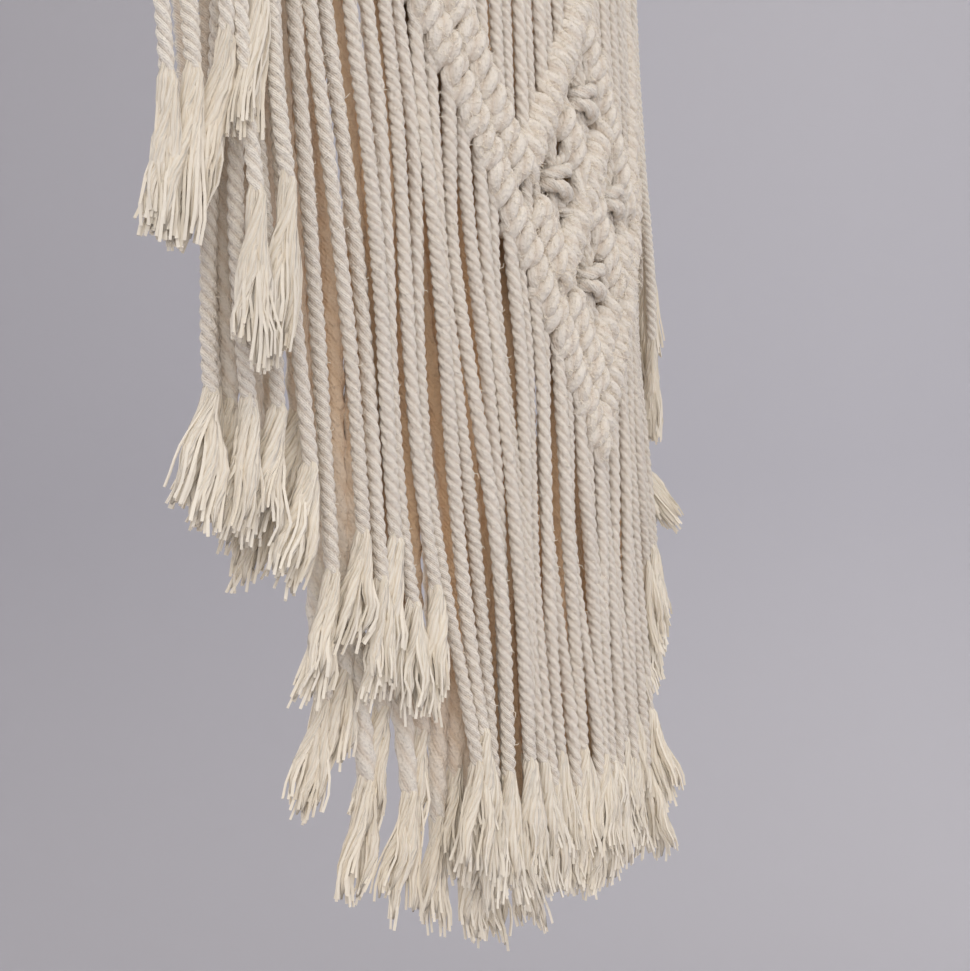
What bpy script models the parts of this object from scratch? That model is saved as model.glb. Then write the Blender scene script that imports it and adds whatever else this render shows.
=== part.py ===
"""Macrame wall hanging of twisted cotton cord.

A knotted panel of 51 cords hangs from a ridged heading. Two diagonal bands of
half hitches run from the top corners to a point, over a diamond of four open
cells with a knot in each. Below the band the cords hang free and end in frayed
tails on a stepped hem. A second layer of cords hangs behind the panel, and a
short fringe hangs in front of it at each side.

The sheet is laid out flat, as reach (sideways), depth (positive to the front)
and drop (down from the top edge), and bend() then lays it along the shallow
bow in which the hanging is seen. Metres, +Z up, front towards -Y, origin in
the middle of the top edge.
"""
import math
from collections import namedtuple

import bmesh
import bpy
import numpy as np
from mathutils import Vector

MM = 0.001

# Cords. A strand is square, with the area of a round 5 mm cord.
STRAND_HALF = 2.2 * MM
STRAND_PITCH = 7.65 * MM
PANEL_COUNT = 51
BACK_COUNT = 52
STRAND_STEP = 60.0 * MM          # longest straight stretch of a strand
TAIL_LENGTH = 38.0 * MM          # frayed end of a cord
SIDE_TAIL_LENGTH = 50.0 * MM

# Knotted rows. A slanted row of double half hitches is 15 mm high, and runs
# 0.7 sideways for each 1 of drop.
ROW_HEIGHT = 15.0 * MM
HEADING_HEIGHT = 12.5 * MM
ROW_FRONT = 6.3 * MM
ROW_BACK = 5.5 * MM
RIDGE = 0.7 * MM                 # rise and fall of the ridges about the mean
SLANT = 0.70
SLANT_LENGTH = math.hypot(1.0, SLANT)
ROW_DROP = ROW_HEIGHT * SLANT_LENGTH / SLANT       # row height measured straight down
HITCH_PITCH = STRAND_PITCH * SLANT_LENGTH / SLANT  # one cord's hitch along a slanted row

HEADING_HALF_LENGTH = 221.0 * MM
HEADING_HALF_DEPTH = 6.0 * MM
HEADING_RIDGE = 0.7              # share of the slanted rows' relief
BAND_HALF_SPAN = 186.0 * MM
BAND_TIP_LAP = 6.0 * MM          # each arm runs this far past the middle
BAND_APEX = 281.5 * MM           # drop of the band's middle line at its point
DIAMOND_APEX = 125.0 * MM        # drop of the diamond's top corner
DIAMOND_MIDDLE = 196.5 * MM      # drop at which its two inner bars cross
CELL_CORD_LAP = 2.0 * MM         # a cell's cords run this far into its rows
KNOT_HALF_HEIGHT = 9.0 * MM
KNOT_HALF_WIDTH = 8.6 * MM
KNOT_HALF_DEPTH = 7.2 * MM
KNOT_SIDES = 6
KNOT_CORD_OFFSET = 2.9 * MM

# Depths of the layers at the heading and below it, positive to the front.
Layer = namedtuple("Layer", "top loose")
PANEL_LAYER = Layer(0.6 * MM, 1.0 * MM)  # every other cord lies forward, the rest back
BACK_LAYER = Layer(-9.6 * MM, -12.2 * MM)
SIDE_LAYER = Layer(10.4 * MM, 12.4 * MM)
GAP = 0.3 * MM
STRIP_HALF_DEPTH = 3.3 * MM      # strip that the back and side cords hang from
STRIP_TOP = 1.5 * MM
STRIP_GROOVE = 1.0 * MM

# How far the loose cords stray.
LEAN_FRONT = 1.0 * MM
LEAN_START = 150.0 * MM
LEAN_END = 480.0 * MM
LEAN_POWER = 1.25
WAVE_SIDE = 2.5 * MM
WAVE_DEPTH = 0.8 * MM
WAVE_LENGTH = 85.0 * MM
WAVE_FALL = 260.0 * MM
STRAY = 0.8 * MM
SPREAD = 1.1 * MM                # farthest that a loose cord lies before or behind its layer
LOOSE_LENGTH = 80.0 * MM         # stretch in which a cord works loose of its knot
SIDE_END_STRAY = 8.0 * MM

# Sideways lean of the loose cords at LEAN_END, in each layer, by place in the sheet.
Lean = namedtuple("Lean", "reach panel back side")
LEANS = (
    Lean(-0.220, -0.004, -0.006, -0.016),
    Lean(-0.190, -0.006, -0.006, 0.046),
    Lean(-0.165, 0.012, -0.005, 0.040),
    Lean(-0.145, 0.028, -0.002, 0.000),
    Lean(-0.110, 0.028, 0.006, 0.000),
    Lean(-0.070, 0.016, 0.008, 0.000),
    Lean(-0.030, 0.008, 0.006, 0.000),
    Lean(0.030, 0.004, 0.004, 0.000),
    Lean(0.100, -0.002, -0.002, 0.000),
    Lean(0.220, 0.006, 0.006, 0.016),
)

Turn = namedtuple("Turn", "reach degrees")
PLAN_TURNS = (
    Turn(-0.225, -20.0),
    Turn(-0.110, -10.0),
    Turn(0.000, 0.0),
    Turn(0.050, 13.5),
    Turn(0.085, 23.5),
    Turn(0.150, 27.5),
    Turn(0.225, 33.5),
)
PLAN_STEPS = 451

# Drop of the tails' ends in each layer, by where the end lies in the sheet.
Hem = namedtuple("Hem", "reach panel back")
HEM = (
    Hem(-0.2000, 0.326, 0.236),
    Hem(-0.1955, 0.323, 0.240),
    Hem(-0.1925, 0.323, 0.326),
    Hem(-0.1750, 0.330, 0.330),
    Hem(-0.1700, 0.344, 0.342),
    Hem(-0.1580, 0.356, 0.354),
    Hem(-0.1550, 0.390, 0.366),
    Hem(-0.1510, 0.392, 0.430),
    Hem(-0.1380, 0.390, 0.444),
    Hem(-0.1220, 0.390, 0.458),
    Hem(-0.1040, 0.406, 0.468),
    Hem(-0.1000, 0.450, 0.472),
    Hem(-0.0850, 0.470, 0.480),
    Hem(-0.0600, 0.478, 0.485),
    Hem(0.0000, 0.478, 0.483),
    Hem(0.0500, 0.478, 0.481),
    Hem(0.0530, 0.412, 0.422),
    Hem(0.1600, 0.402, 0.410),
    Hem(0.1660, 0.352, 0.356),
    Hem(0.2000, 0.342, 0.346),
)

# Every other cord ends a tier higher, except near the side edges, and each one
# ends up to a stray higher.
Tier = namedtuple("Tier", "rise stray salt")
TIERS = {"panel": Tier(15.0 * MM, 12.0 * MM, 2), "back": Tier(26.0 * MM, 8.0 * MM, 4)}
TIER_REACH = 0.170
TIER_FADE = 0.015

# Cords of a side fringe, from the outermost inwards, with the drops of their ends.
SideCord = namedtuple("SideCord", "reach left right")
SIDE_CORDS = (
    SideCord(0.2145, 0.248, 0.276),
    SideCord(0.2070, 0.246, 0.272),
    SideCord(0.1995, 0.234, 0.266),
    SideCord(0.1920, 0.284, 0.300),
    SideCord(0.1850, 0.214, 0.250),
    SideCord(0.1785, 0.278, 0.296),
)
SIDE_STRIP = (0.1740, 0.221)      # inner and outer end of the strip that they hang from

# Half width and half depth of a tail along its length, from cord to end.
TailStep = namedtuple("TailStep", "share width depth")
PANEL_TAIL = (
    TailStep(0.00, 2.2 * MM, 2.2 * MM),
    TailStep(0.60, 5.6 * MM, 3.8 * MM),
    TailStep(1.00, 7.0 * MM, 4.4 * MM),
)
BACK_TAIL = (
    TailStep(0.00, 2.2 * MM, 2.2 * MM),
    TailStep(0.60, 5.4 * MM, 3.2 * MM),
    TailStep(1.00, 6.6 * MM, 3.6 * MM),
)

# How far the tails' ends swing away from their cords' lines.
Flare = namedtuple("Flare", "reach side front")
FLARES = (
    Flare(-0.216, -0.004, 0.0),
    Flare(-0.198, -0.012, 0.0),
    Flare(-0.120, -0.010, 0.0),
    Flare(-0.085, 0.0, 0.0),
    Flare(0.030, 0.0, 0.0),
    Flare(0.045, 0.0, 0.007),
    Flare(0.056, 0.0, 0.003),
    Flare(0.165, 0.0, 0.003),
    Flare(0.175, 0.0, 0.020),
    Flare(0.220, 0.0, 0.022),
)
FLARE_POWER = 1.5

# A knotted row in section: rise across the row, depth, and how far each ridge
# moves the point. Shares of the row's half height and of its front or back.
SectionPoint = namedtuple("SectionPoint", "rise depth ridge")
SINGLE_ROW = (
    SectionPoint(1.00, 0.0, 0.6),
    SectionPoint(0.55, 0.9, 1.0),
    SectionPoint(-0.55, 0.9, 1.0),
    SectionPoint(-1.00, 0.0, 0.6),
    SectionPoint(-0.55, -1.0, 0.0),
    SectionPoint(0.55, -1.0, 0.0),
)
DOUBLE_ROW = (
    SectionPoint(2.00, 0.0, 0.6),
    SectionPoint(1.10, 1.0, 1.0),
    SectionPoint(0.00, 0.5, 0.0),
    SectionPoint(-1.10, 1.0, -1.0),
    SectionPoint(-2.00, 0.0, -0.6),
    SectionPoint(-1.30, -1.0, 0.0),
    SectionPoint(1.30, -1.0, 0.0),
)

KnotStep = namedtuple("KnotStep", "fall size")
KNOT_PROFILE = (
    KnotStep(-1.0, 0.70),
    KnotStep(-0.5, 1.00),
    KnotStep(0.0, 0.75),
    KnotStep(0.5, 1.00),
    KnotStep(1.0, 0.70),
)

COTTON_COLOUR = (0.74, 0.66, 0.55, 1.0)
SIDE_COLOUR = (0.78, 0.71, 0.61, 1.0)
BACK_COLOUR = (0.68, 0.59, 0.47, 1.0)
COTTON_ROUGHNESS = 0.95


def clear_scene():
    for found in list(bpy.data.objects):
        bpy.data.objects.remove(found, do_unlink=True)


def new_collection(name):
    collection = bpy.data.collections.new(name)
    bpy.context.scene.collection.children.link(collection)
    return collection


def cotton(name, colour):
    material = bpy.data.materials.new(name)
    material.use_nodes = True
    shader = material.node_tree.nodes["Principled BSDF"]
    shader.inputs["Base Color"].default_value = colour
    shader.inputs["Roughness"].default_value = COTTON_ROUGHNESS
    shader.inputs["Metallic"].default_value = 0.0
    return material


def scatter(index, salt):
    """A fixed number from -1 to 1 for each cord, so that no two lie alike."""
    value = math.sin(index * 12.9898 + salt * 78.233) * 43758.5453
    return 2.0 * (value - math.floor(value)) - 1.0


def plan_line():
    """Plan of the bow: distance along the sheet, x, y and turn at each step."""
    reach = np.linspace(PLAN_TURNS[0].reach, PLAN_TURNS[-1].reach, PLAN_STEPS)
    turn = np.radians(np.interp(reach, [row.reach for row in PLAN_TURNS],
                                [row.degrees for row in PLAN_TURNS]))
    step = reach[1] - reach[0]
    x = np.concatenate(([0.0], np.cumsum((np.cos(turn[1:]) + np.cos(turn[:-1])) * step / 2)))
    y = np.concatenate(([0.0], np.cumsum((np.sin(turn[1:]) + np.sin(turn[:-1])) * step / 2)))
    return reach, x - np.interp(0.0, reach, x), y - np.interp(0.0, reach, y), turn


PLAN = plan_line()


def bend(reach, depth, drop):
    """Point of the flat sheet, laid along the bow."""
    line, x, y, turn = PLAN
    angle = float(np.interp(reach, line, turn))
    return Vector((float(np.interp(reach, line, x)) + depth * math.sin(angle),
                   float(np.interp(reach, line, y)) - depth * math.cos(angle),
                   -drop))


def ramp(value, start, end):
    share = min(max((value - start) / (end - start), 0.0), 1.0)
    return share * share * (3.0 - 2.0 * share)


def lean_share(drop):
    share = min(max((drop - LEAN_START) / (LEAN_END - LEAN_START), 0.0), 1.0)
    return share ** LEAN_POWER


def side_lean(reach, layer):
    """Sideways lean at LEAN_END of a layer's cord at this place in the sheet."""
    return float(np.interp(reach, [row.reach for row in LEANS],
                           [getattr(row, layer) for row in LEANS]))


def hem_drop(reach, layer):
    """Drop of a cord's end, looked up where its lean brings it to."""
    ends = [row.reach for row in HEM]
    drops = [getattr(row, layer) for row in HEM]
    first = float(np.interp(reach, ends, drops))
    leaned = reach + side_lean(reach, layer) * lean_share(first)
    return float(np.interp(leaned, ends, drops))


def cord_end(k, reach, layer):
    """Drop at which cord k of the panel or of the back ends."""
    tier = TIERS[layer]
    raised = tier.rise * ((k + tier.salt) % 2) * ramp(TIER_REACH - abs(reach), 0.0, TIER_FADE)
    return hem_drop(reach, layer) - raised - tier.stray * (1.0 + scatter(k, tier.salt)) / 2


def tail_flare(reach, layer, share):
    """Sideways and forward swing of a tail at a share of its length."""
    place = min(reach, 0.0) if layer == "side" else reach
    reaches = [row.reach for row in FLARES]
    side = float(np.interp(place, reaches, [row.side for row in FLARES]))
    front = 0.0 if layer == "back" else float(np.interp(place, reaches, [row.front for row in FLARES]))
    return side * share ** FLARE_POWER, front * share ** FLARE_POWER


def band_drop(reach):
    """Drop of the band's middle line."""
    return BAND_APEX - abs(reach) / SLANT


def upper_end(reach):
    """Drop at which a cord from the heading goes into the first slanted row."""
    return min(band_drop(reach) - ROW_DROP / 2, DIAMOND_APEX + abs(reach) / SLANT)


def lower_start(reach):
    """Drop at which a cord leaves the last slanted row."""
    return band_drop(reach) + ROW_DROP / 2


def strand_point(index, reach, layer, depths, start, drop):
    """Reach and depth of a loose cord at a drop below its knot."""
    loose = ramp(drop, start, start + LOOSE_LENGTH)
    leaned = lean_share(drop)
    phase = 2.0 * math.pi * reach / WAVE_LENGTH
    fall = 2.0 * math.pi * drop / WAVE_FALL
    side = WAVE_SIDE * math.sin(phase + fall) + STRAY * scatter(index, 1)
    forward = WAVE_DEPTH * math.sin(0.6 * phase - fall)
    forward += depths.loose - depths.top + SPREAD * scatter(index, 13)
    return (reach + loose * side + side_lean(reach, layer) * leaned,
            depths.top + loose * forward + LEAN_FRONT * leaned)


def add_loft(mesh, rings):
    """Closed skin over rings of equal point count, with a flat face at each end."""
    rows = [[mesh.verts.new(point) for point in ring] for ring in rings]
    count = len(rows[0])
    for upper, lower in zip(rows, rows[1:]):
        for i in range(count):
            j = (i + 1) % count
            mesh.faces.new((upper[i], upper[j], lower[j], lower[i]))
    mesh.faces.new(rows[0])
    mesh.faces.new(list(reversed(rows[-1])))


def square_ring(reach, depth, drop, half_width, half_depth):
    corners = ((-1, -1), (1, -1), (1, 1), (-1, 1))
    return [bend(reach + half_width * across, depth + half_depth * out, drop)
            for across, out in corners]


def add_strand(mesh, index, reach, layer, depths, start, end, tail):
    """A hanging cord from its knot to its end, with a frayed tail or without."""
    tail_length = SIDE_TAIL_LENGTH if layer == "side" else TAIL_LENGTH
    opening = end - tail_length if tail else end
    steps = max(1, math.ceil((opening - start) / STRAND_STEP))
    rings = []
    for i in range(steps + (0 if tail else 1)):
        drop = start + (opening - start) * i / steps
        side, forward = strand_point(index, reach, layer, depths, start, drop)
        rings.append(square_ring(side, forward, drop, STRAND_HALF, STRAND_HALF))
    for step in tail:
        drop = opening + tail_length * step.share
        side, forward = strand_point(index, reach, layer, depths, start, drop)
        flare_side, flare_front = tail_flare(reach, layer, step.share)
        rings.append(square_ring(side + flare_side, forward + flare_front, drop, step.width, step.depth))
    add_loft(mesh, rings)


def add_knotted_row(mesh, begin, finish, section, pitch):
    """A ridged row between two (reach, drop) points, two steps to each hitch."""
    run = finish[0] - begin[0]
    fall = finish[1] - begin[1]
    length = math.hypot(run, fall)
    across = (fall / length, -run / length)
    steps = max(2, 2 * round(length / pitch))
    rings = []
    for i in range(steps + 1):
        sign = 1.0 if i % 2 else -1.0
        ring = []
        for point in section:
            swell = sign * point.ridge * RIDGE
            rise = point.rise * ROW_HEIGHT / 2
            rise += math.copysign(swell * abs(point.rise) / 2, rise)
            depth = point.depth * (ROW_FRONT if point.depth > 0 else ROW_BACK)
            depth += swell if point.depth > 0 else 0.0
            reach = begin[0] + run * i / steps + across[0] * rise
            drop = begin[1] + fall * i / steps + across[1] * rise
            ring.append(bend(reach, depth, drop))
        rings.append(ring)
    add_loft(mesh, rings)


def finish_object(name, mesh, collection, material=None):
    """Mesh object of a bmesh, its faces turned outwards."""
    bmesh.ops.recalc_face_normals(mesh, faces=mesh.faces)
    data = bpy.data.meshes.new(name)
    mesh.to_mesh(data)
    mesh.free()
    made = bpy.data.objects.new(name, data)
    collection.objects.link(made)
    if material:
        data.materials.append(material)
    else:
        made.hide_render = True
        made.display_type = "WIRE"
    return made


def fuse(base, pieces, name):
    """Union of a base with loose pieces, which are kept in a collection of their own."""
    group = new_collection(name)
    for mesh, label in pieces:
        finish_object(label, mesh, group)
    union = base.modifiers.new("fuse", "BOOLEAN")
    union.operation = "UNION"
    union.operand_type = "COLLECTION"
    union.collection = group
    union.solver = "EXACT"


def panel_reaches():
    return [(k, (k - (PANEL_COUNT - 1) / 2) * STRAND_PITCH) for k in range(PANEL_COUNT)]


def back_reaches():
    return [(k, (k - (BACK_COUNT - 1) / 2) * STRAND_PITCH) for k in range(BACK_COUNT)]


def add_strip(mesh, span, depth, steps, outer_side):
    """Narrow strip behind or before the heading, grooved on its outer side."""
    rings = []
    for i in range(steps + 1):
        reach = span[0] + (span[1] - span[0]) * i / steps
        outer = depth + outer_side * (STRIP_HALF_DEPTH + (0.0 if i % 2 else -STRIP_GROOVE))
        inner = depth - outer_side * STRIP_HALF_DEPTH
        rings.append([bend(reach, outer, STRIP_TOP), bend(reach, inner, STRIP_TOP),
                      bend(reach, inner, HEADING_HEIGHT), bend(reach, outer, HEADING_HEIGHT)])
    add_loft(mesh, rings)


def add_heading(mesh):
    """Ridged bar along the top edge, with a flat back and a top at drop 0."""
    steps = 2 * round(HEADING_HALF_LENGTH / STRAND_PITCH)
    rings = []
    for i in range(steps + 1):
        reach = -HEADING_HALF_LENGTH + 2 * HEADING_HALF_LENGTH * i / steps
        front = ROW_FRONT + (RIDGE if i % 2 else -RIDGE) * HEADING_RIDGE
        rings.append([bend(reach, 0.0, 0.0),
                      bend(reach, front, HEADING_HEIGHT * 0.25),
                      bend(reach, front, HEADING_HEIGHT * 0.75),
                      bend(reach, 0.0, HEADING_HEIGHT),
                      bend(reach, -HEADING_HALF_DEPTH, HEADING_HEIGHT * 0.8),
                      bend(reach, -HEADING_HALF_DEPTH, HEADING_HEIGHT * 0.2)])
    add_loft(mesh, rings)


def add_cell_knot(mesh, reach, drop):
    """Knot in the middle of a cell, as two ridges one above the other."""
    rings = []
    for step in KNOT_PROFILE:
        ring = []
        for k in range(KNOT_SIDES):
            angle = 2.0 * math.pi * k / KNOT_SIDES
            ring.append(bend(reach + KNOT_HALF_WIDTH * step.size * math.cos(angle),
                             KNOT_HALF_DEPTH * step.size * math.sin(angle),
                             drop + KNOT_HALF_HEIGHT * step.fall))
        rings.append(ring)
    add_loft(mesh, rings)


def cell_half_height():
    """Half height of each of the four cells inside the diamond."""
    return (BAND_APEX - ROW_DROP - DIAMOND_APEX - ROW_DROP / 2 - ROW_DROP) / 4


def cell_centres():
    """Middles of the four cells: left, right, top and bottom."""
    rise = cell_half_height() + ROW_DROP / 2
    return ((-rise * SLANT, DIAMOND_MIDDLE), (rise * SLANT, DIAMOND_MIDDLE),
            (0.0, DIAMOND_MIDDLE - rise), (0.0, DIAMOND_MIDDLE + rise))


def build_panel(collection, material):
    upper = bmesh.new()
    lower = bmesh.new()
    for k, reach in panel_reaches():
        side = 1 if k % 2 else -1
        depths = Layer(side * PANEL_LAYER.top, side * PANEL_LAYER.loose)
        end = cord_end(k, reach, "panel")
        if abs(reach) > BAND_HALF_SPAN - ROW_HEIGHT / 2:
            add_strand(lower, k, reach, "panel", depths, HEADING_HEIGHT / 2, end, PANEL_TAIL)
            continue
        if upper_end(reach) > HEADING_HEIGHT:
            knotted = Layer(depths.top, depths.top)
            add_strand(upper, k, reach, "panel", knotted, HEADING_HEIGHT / 2, upper_end(reach), ())
        add_strand(lower, k, reach, "panel", depths, lower_start(reach), end, PANEL_TAIL)

    pieces = [(upper, "upper_cords"), (lower, "hanging_cords")]
    for sign, label in ((-1, "left"), (1, "right")):
        arm = bmesh.new()
        add_knotted_row(arm, (-sign * BAND_TIP_LAP, band_drop(0.0) + BAND_TIP_LAP / SLANT),
                        (sign * BAND_HALF_SPAN, band_drop(BAND_HALF_SPAN)), DOUBLE_ROW, HITCH_PITCH)
        pieces.append((arm, "band_" + label))
        corner_drop = (DIAMOND_APEX + BAND_APEX - ROW_DROP / 2) / 2
        corner_reach = (corner_drop - DIAMOND_APEX) * SLANT
        edge = bmesh.new()
        add_knotted_row(edge, (-sign * BAND_TIP_LAP / 2, DIAMOND_APEX - BAND_TIP_LAP / 2 / SLANT),
                        (sign * corner_reach, corner_drop), SINGLE_ROW, HITCH_PITCH)
        pieces.append((edge, "diamond_edge_" + label))
        high = (DIAMOND_MIDDLE + DIAMOND_APEX) / 2
        low = (DIAMOND_MIDDLE + BAND_APEX - ROW_DROP / 2) / 2
        bar = bmesh.new()
        add_knotted_row(bar, (sign * (DIAMOND_MIDDLE - high) * SLANT, high),
                        (-sign * (low - DIAMOND_MIDDLE) * SLANT, low), SINGLE_ROW, HITCH_PITCH)
        pieces.append((bar, "diamond_bar_" + label))

    for number, (reach, drop) in enumerate(cell_centres()):
        knot = bmesh.new()
        add_cell_knot(knot, reach, drop)
        pieces.append((knot, "cell_knot_%d" % number))
        cords = bmesh.new()
        run = cell_half_height() + CELL_CORD_LAP
        for offset in (-KNOT_CORD_OFFSET, KNOT_CORD_OFFSET):
            add_loft(cords, [square_ring(reach + offset, 0.0, drop + end, STRAND_HALF, STRAND_HALF)
                             for end in (-run, run)])
        pieces.append((cords, "cell_cords_%d" % number))

    heading = bmesh.new()
    add_heading(heading)
    panel = finish_object("knotted_panel", heading, collection, material)
    fuse(panel, pieces, "panel_pieces")


def build_back(collection, material):
    strip = bmesh.new()
    reaches = back_reaches()
    half = reaches[-1][1] + STRAND_PITCH / 2
    depth = -HEADING_HALF_DEPTH - GAP - STRIP_HALF_DEPTH
    add_strip(strip, (-half, half), depth, BACK_COUNT, -1)
    back = finish_object("back_fringe", strip, collection, material)
    cords = bmesh.new()
    for k, reach in reaches:
        end = cord_end(k, reach, "back")
        add_strand(cords, k + 100, reach, "back", BACK_LAYER, HEADING_HEIGHT * 0.6, end, BACK_TAIL)
    fuse(back, [(cords, "back_cords")], "back_pieces")


def build_side(sign, name, collection, material):
    strip = bmesh.new()
    span = sorted(sign * edge for edge in SIDE_STRIP)
    depth = ROW_FRONT + RIDGE * HEADING_RIDGE + GAP + STRIP_HALF_DEPTH
    add_strip(strip, span, depth, 2 * len(SIDE_CORDS), 1)
    side = finish_object(name, strip, collection, material)
    cords = bmesh.new()
    for k, cord in enumerate(SIDE_CORDS):
        end = cord.left if sign < 0 else cord.right
        end -= SIDE_END_STRAY * (1.0 + scatter(k, 4 + sign)) / 2
        add_strand(cords, k + 200, sign * cord.reach, "side", SIDE_LAYER, HEADING_HEIGHT * 0.6, end, BACK_TAIL)
    fuse(side, [(cords, name + "_cords")], name + "_pieces")


def main():
    clear_scene()
    hanging = new_collection("macrame_wall_hanging")
    build_panel(hanging, cotton("panel_cotton", COTTON_COLOUR))
    build_back(hanging, cotton("back_cotton", BACK_COLOUR))
    side_cotton = cotton("side_cotton", SIDE_COLOUR)
    build_side(-1, "side_fringe_left", hanging, side_cotton)
    build_side(1, "side_fringe_right", hanging, side_cotton)


main()
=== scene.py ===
import math
import bpy
import numpy as np
from mathutils import Matrix


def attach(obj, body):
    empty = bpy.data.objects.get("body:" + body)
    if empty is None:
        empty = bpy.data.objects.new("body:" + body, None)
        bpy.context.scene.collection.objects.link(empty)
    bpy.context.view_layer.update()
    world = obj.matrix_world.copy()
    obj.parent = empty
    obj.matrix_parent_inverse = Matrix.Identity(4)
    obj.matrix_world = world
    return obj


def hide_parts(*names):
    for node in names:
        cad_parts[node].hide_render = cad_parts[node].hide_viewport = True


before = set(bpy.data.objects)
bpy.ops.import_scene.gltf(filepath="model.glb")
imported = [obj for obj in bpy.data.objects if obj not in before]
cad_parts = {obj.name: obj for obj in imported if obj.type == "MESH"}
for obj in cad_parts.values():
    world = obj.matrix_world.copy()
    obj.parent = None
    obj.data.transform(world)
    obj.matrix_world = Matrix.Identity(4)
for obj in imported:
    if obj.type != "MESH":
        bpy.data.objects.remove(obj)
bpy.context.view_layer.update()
bpy.ops.object.select_all(action="DESELECT")
mm = 0.001
print("frame loaded:", sorted(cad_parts))


# The camera stands to the left of the hanging and looks along its front.
camera = {
    "place": (-0.528, -0.254, -0.312), "heading": 60.0, "roll": 2.6,
    "lens": 54.2, "sensor": 36.0,
}


def placeCamera(look):
    bpy.ops.object.camera_add(location=look["place"])
    made = bpy.context.object
    heading = Matrix.Rotation(math.radians(-look["heading"]), 3, "Z")
    level = Matrix.Rotation(math.radians(90), 3, "X")
    roll = Matrix.Rotation(math.radians(-look["roll"]), 3, "Z")
    made.rotation_euler = (heading @ level @ roll).to_euler()
    made.data.sensor_fit = "HORIZONTAL"
    made.data.sensor_width = look["sensor"]
    made.data.lens = look["lens"]
    made.data.dof.use_dof = False
    bpy.context.scene.camera = made


placeCamera(camera)
print("camera placed")


# The sheet is laid out flat as reach (sideways), depth (to the front) and drop (down from the top
# edge), and bend() lays it along its shallow bow.
bow = {
    "turns": ((-0.225, -20.0), (-0.110, -10.0), (0.000, 0.0), (0.050, 13.5),
              (0.085, 23.5), (0.150, 27.5), (0.225, 33.5)),  # reach, degrees
    "steps": 451,
}
cord = {
    "radius": 2.7 * mm,
    "groove": 0.72,        # radius between two plies, as a share of the full one
    "lay": 13.0 * mm,      # length of one full turn of the plies
    "ring": 1.55 * mm,     # distance between two rings of the mesh
    "farRing": 2.3 * mm,
    "backRing": 2.2 * mm,
    "pitch": 7.65 * mm,
    "tails": {"panel": 38.0 * mm, "back": 38.0 * mm, "side": 50.0 * mm},
}
rows = {
    "heading": 12.5 * mm,
    "stripLevel": 0.56,    # level of a fringe's hitches, as a share of the heading
    "loose": 14.5 * mm,    # drop at which a fringe's cords come out from under its hitches
    "height": 15.0 * mm,
    "clear": 10.5 * mm,    # how far a slanted hitch reaches above and below its row
    "slant": 0.70,         # run sideways for each 1 of drop
    "bandPoint": 281.5 * mm,
    "bandHalf": 176.0 * mm,
    "diamondTop": 125.0 * mm,
    "diamondMiddle": 196.5 * mm,
}
slantLength = math.hypot(1.0, rows["slant"])
rowDrop = rows["height"] * slantLength / rows["slant"]


def layBow(plan):
    places, degrees = np.array(plan["turns"]).T
    reach = np.linspace(places[0], places[-1], plan["steps"])
    turn = np.radians(np.interp(reach, places, degrees))
    step = reach[1] - reach[0]

    def along(slope):
        run = np.concatenate(([0.0], np.cumsum((slope[1:] + slope[:-1]) * step / 2)))
        return run - np.interp(0.0, reach, run)

    return reach, along(np.cos(turn)), along(np.sin(turn)), turn


bowLine = layBow(bow)


def bend(points):  # rows of reach, depth and drop
    reach, depth, drop = np.asarray(points, float).T
    line, x, y, turn = bowLine
    angle = np.interp(reach, line, turn)
    return np.stack((np.interp(reach, line, x) + depth * np.sin(angle),
                     np.interp(reach, line, y) - depth * np.cos(angle), -drop), axis=1)


def scatter(index, salt):  # a fixed number from -1 to 1 for each cord
    value = math.sin(index * 12.9898 + salt * 78.233) * 43758.5453
    return 2.0 * (value - math.floor(value)) - 1.0


def ramp(value, start, end):
    share = np.clip((value - start) / (end - start), 0.0, 1.0)
    return share * share * (3.0 - 2.0 * share)


# How the loose cords stray and lean. The table gives the sideways lean at leanTo in each layer.
stray = {
    "leans": ((-0.220, -0.004, -0.006, -0.016), (-0.190, -0.006, -0.006, 0.046),
              (-0.165, 0.012, -0.005, 0.040), (-0.145, 0.028, -0.002, 0.000),
              (-0.110, 0.028, 0.006, 0.000), (-0.070, 0.016, 0.008, 0.000),
              (-0.030, 0.008, 0.006, 0.000), (0.030, 0.004, 0.004, 0.000),
              (0.100, -0.002, -0.002, 0.000), (0.220, 0.006, 0.006, 0.016)),  # reach, panel, back, side
    "leanFront": 1.0 * mm, "leanFrom": 150.0 * mm, "leanTo": 480.0 * mm, "leanPower": 1.25,
    "waveSide": 2.5 * mm, "waveDepth": 0.8 * mm, "waveLength": 85.0 * mm, "waveFall": 260.0 * mm,
    "own": 1.6 * mm, "ownFall": 210.0 * mm, "spread": 1.1 * mm, "loosen": 80.0 * mm,
}
layerColumn = {"panel": 1, "back": 2, "side": 3}
# How far the tails swing away from their cords' lines: reach, side, front.
flare = ((-0.216, -0.004, 0.0), (-0.198, -0.012, 0.0), (-0.120, -0.010, 0.0), (-0.085, 0.0, 0.0),
         (0.030, 0.0, 0.0), (0.045, 0.0, 0.007), (0.056, 0.0, 0.003), (0.165, 0.0, 0.003),
         (0.175, 0.0, 0.020), (0.220, 0.0, 0.022))


def leanShare(drops):
    share = (drops - stray["leanFrom"]) / (stray["leanTo"] - stray["leanFrom"])
    return np.clip(share, 0.0, 1.0) ** stray["leanPower"]


def sideLean(reach, layer):
    table = np.array(stray["leans"])
    return np.interp(reach, table[:, 0], table[:, layerColumn[layer]])


def tailFlare(reach, layer, share):  # how far a tail has swung away from its cord's line
    table = np.array(flare)
    place = min(reach, 0.0) if layer == "side" else reach
    side, front = (np.interp(place, table[:, 0], table[:, column]) * share ** 1.5
                   for column in (1, 2))
    return side, front * (0.0 if layer == "back" else 1.0)


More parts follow.
